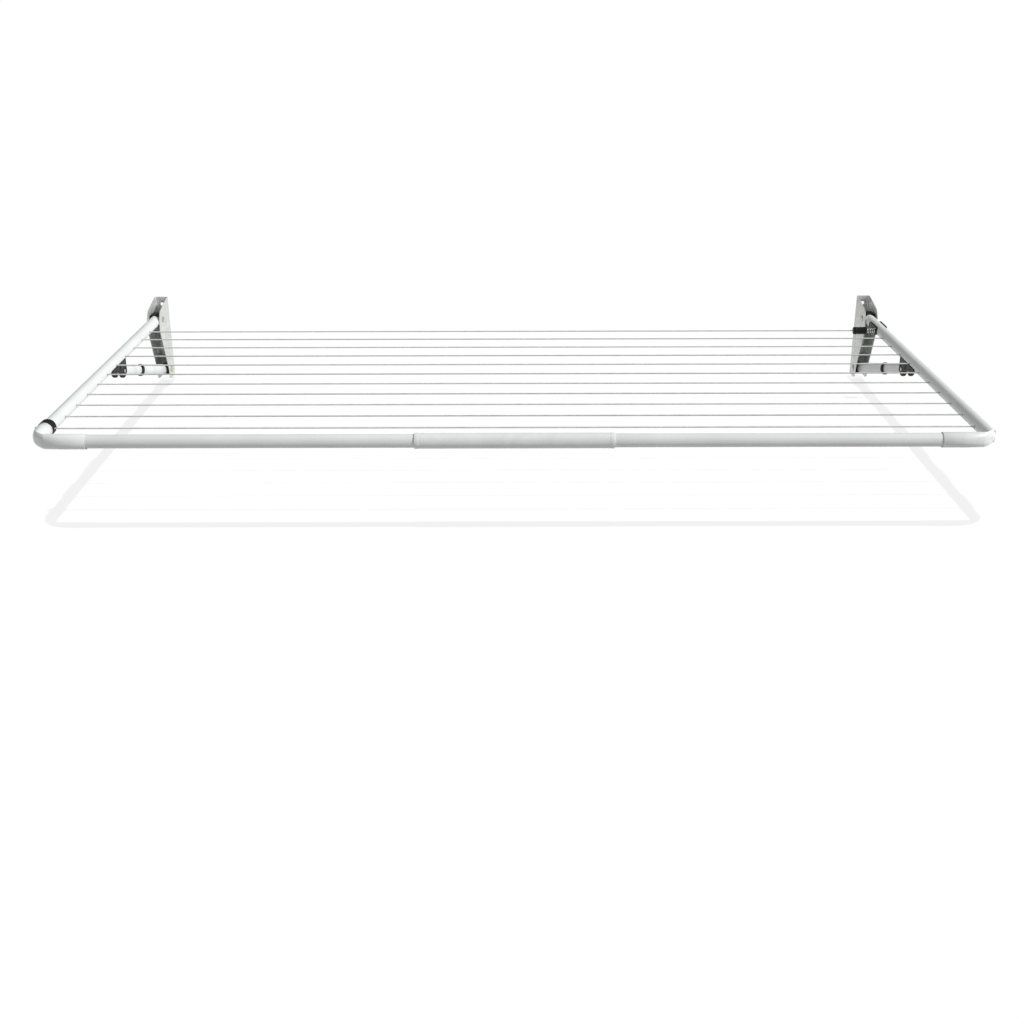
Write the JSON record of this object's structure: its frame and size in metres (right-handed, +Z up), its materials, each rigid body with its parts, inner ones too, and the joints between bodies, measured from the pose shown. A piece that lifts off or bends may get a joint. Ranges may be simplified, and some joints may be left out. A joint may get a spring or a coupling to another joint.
{
  "type": "wall-mounted folding clothesline frame",
  "caption": "Wall-mounted folding clothes drying frame with threaded cord lines, two brackets, sliding stays and a sprung line tensioner.",
  "frame": {"origin": "on the wall plane, midway between the brackets, level with the upper pivots", "axes": "+X along the front rail to the right, +Y into the wall, +Z up"},
  "size_m": [2.2577, 1.2605, 0.251],
  "materials": {
    "powder_coat": "satin",
    "galvanised": "satin",
    "black_nylon": "matte",
    "white_nylon": "satin",
    "cord_vinyl": "satin",
    "spring_steel": "satin",
    "zinc_plate": "satin"
  },
  "bodies": {
    "wall_brackets": {"bracket_left": "galvanised", "arm_pin_left": "zinc_plate", "stay_pin_left": "zinc_plate", "bracket_right": "galvanised", "arm_pin_right": "zinc_plate", "stay_pin_right": "zinc_plate"},
    "frame": {"arm_tube_left": "powder_coat", "arm_eye_left": "black_nylon", "rail_tube_left": "powder_coat", "corner_left": "white_nylon", "arm_tube_right": "powder_coat", "arm_eye_right": "black_nylon", "rail_tube_right": "powder_coat", "corner_right": "white_nylon", "rail_sleeve": "white_nylon", "corner_seal_left": "black_nylon", "line_cord": "cord_vinyl", "tensioner_housing": "black_nylon", "tensioner_cap": "black_nylon", "tensioner_spring": "spring_steel"},
    "tensioner_grip": {"tensioner_grip": "black_nylon"},
    "slider_left": {"slider_left": "black_nylon"},
    "release_button_left": {"release_button_left": "black_nylon"},
    "stay_left": {"stay_eye_left": "black_nylon", "stay_tube_left": "powder_coat", "stay_collar_left": "black_nylon", "stay_rod_left": "powder_coat", "stay_tongue_left": "zinc_plate", "fork_pin_left": "zinc_plate"},
    "slider_right": {"slider_right": "black_nylon"},
    "release_button_right": {"release_button_right": "black_nylon"},
    "stay_right": {"stay_eye_right": "black_nylon", "stay_tube_right": "powder_coat", "stay_collar_right": "black_nylon", "stay_rod_right": "powder_coat", "stay_tongue_right": "zinc_plate", "fork_pin_right": "zinc_plate"}
  },
  "joints": [
    {"name": "frame_fold", "type": "hinge", "parent": "wall_brackets", "child": "frame", "pos_m": [0, -0.084, 0], "axis": [1, 0, 0], "range_deg": [0, 90]},
    {"name": "slider_travel_left", "type": "slide", "parent": "frame", "child": "slider_left", "axis": [0, -1, 0], "range_m": [0, 0.2365]},
    {"name": "stay_swing_left", "type": "hinge", "parent": "wall_brackets", "child": "stay_left", "pos_m": [-1.104, -0.0375, -0.1715], "axis": [1, 0, 0], "range_deg": [0, 104.2]},
    {"name": "release_press_left", "type": "slide", "parent": "slider_left", "child": "release_button_left", "axis": [0, 0, 1], "range_m": [0, 0.003], "stiffness_N_per_m": 900},
    {"name": "slider_travel_right", "type": "slide", "parent": "frame", "child": "slider_right", "axis": [0, -1, 0], "range_m": [0, 0.2365]},
    {"name": "stay_swing_right", "type": "hinge", "parent": "wall_brackets", "child": "stay_right", "pos_m": [1.104, -0.0375, -0.1715], "axis": [1, 0, 0], "range_deg": [0, 104.2]},
    {"name": "release_press_right", "type": "slide", "parent": "slider_right", "child": "release_button_right", "axis": [0, 0, 1], "range_m": [0, 0.003], "stiffness_N_per_m": 900},
    {"name": "tensioner_slide", "type": "slide", "parent": "frame", "child": "tensioner_grip", "axis": [1, 0, 0], "range_m": [0, 0.008], "stiffness_N_per_m": 1500}
  ],
  "couplings": [
    {"joint": "slider_travel_left", "follows": "frame_fold", "m_per_rad": 0.15049},
    {"joint": "stay_swing_left", "follows": "frame_fold", "ratio": 1.1566},
    {"joint": "slider_travel_right", "follows": "frame_fold", "m_per_rad": 0.15049},
    {"joint": "stay_swing_right", "follows": "frame_fold", "ratio": 1.1566}
  ]
}
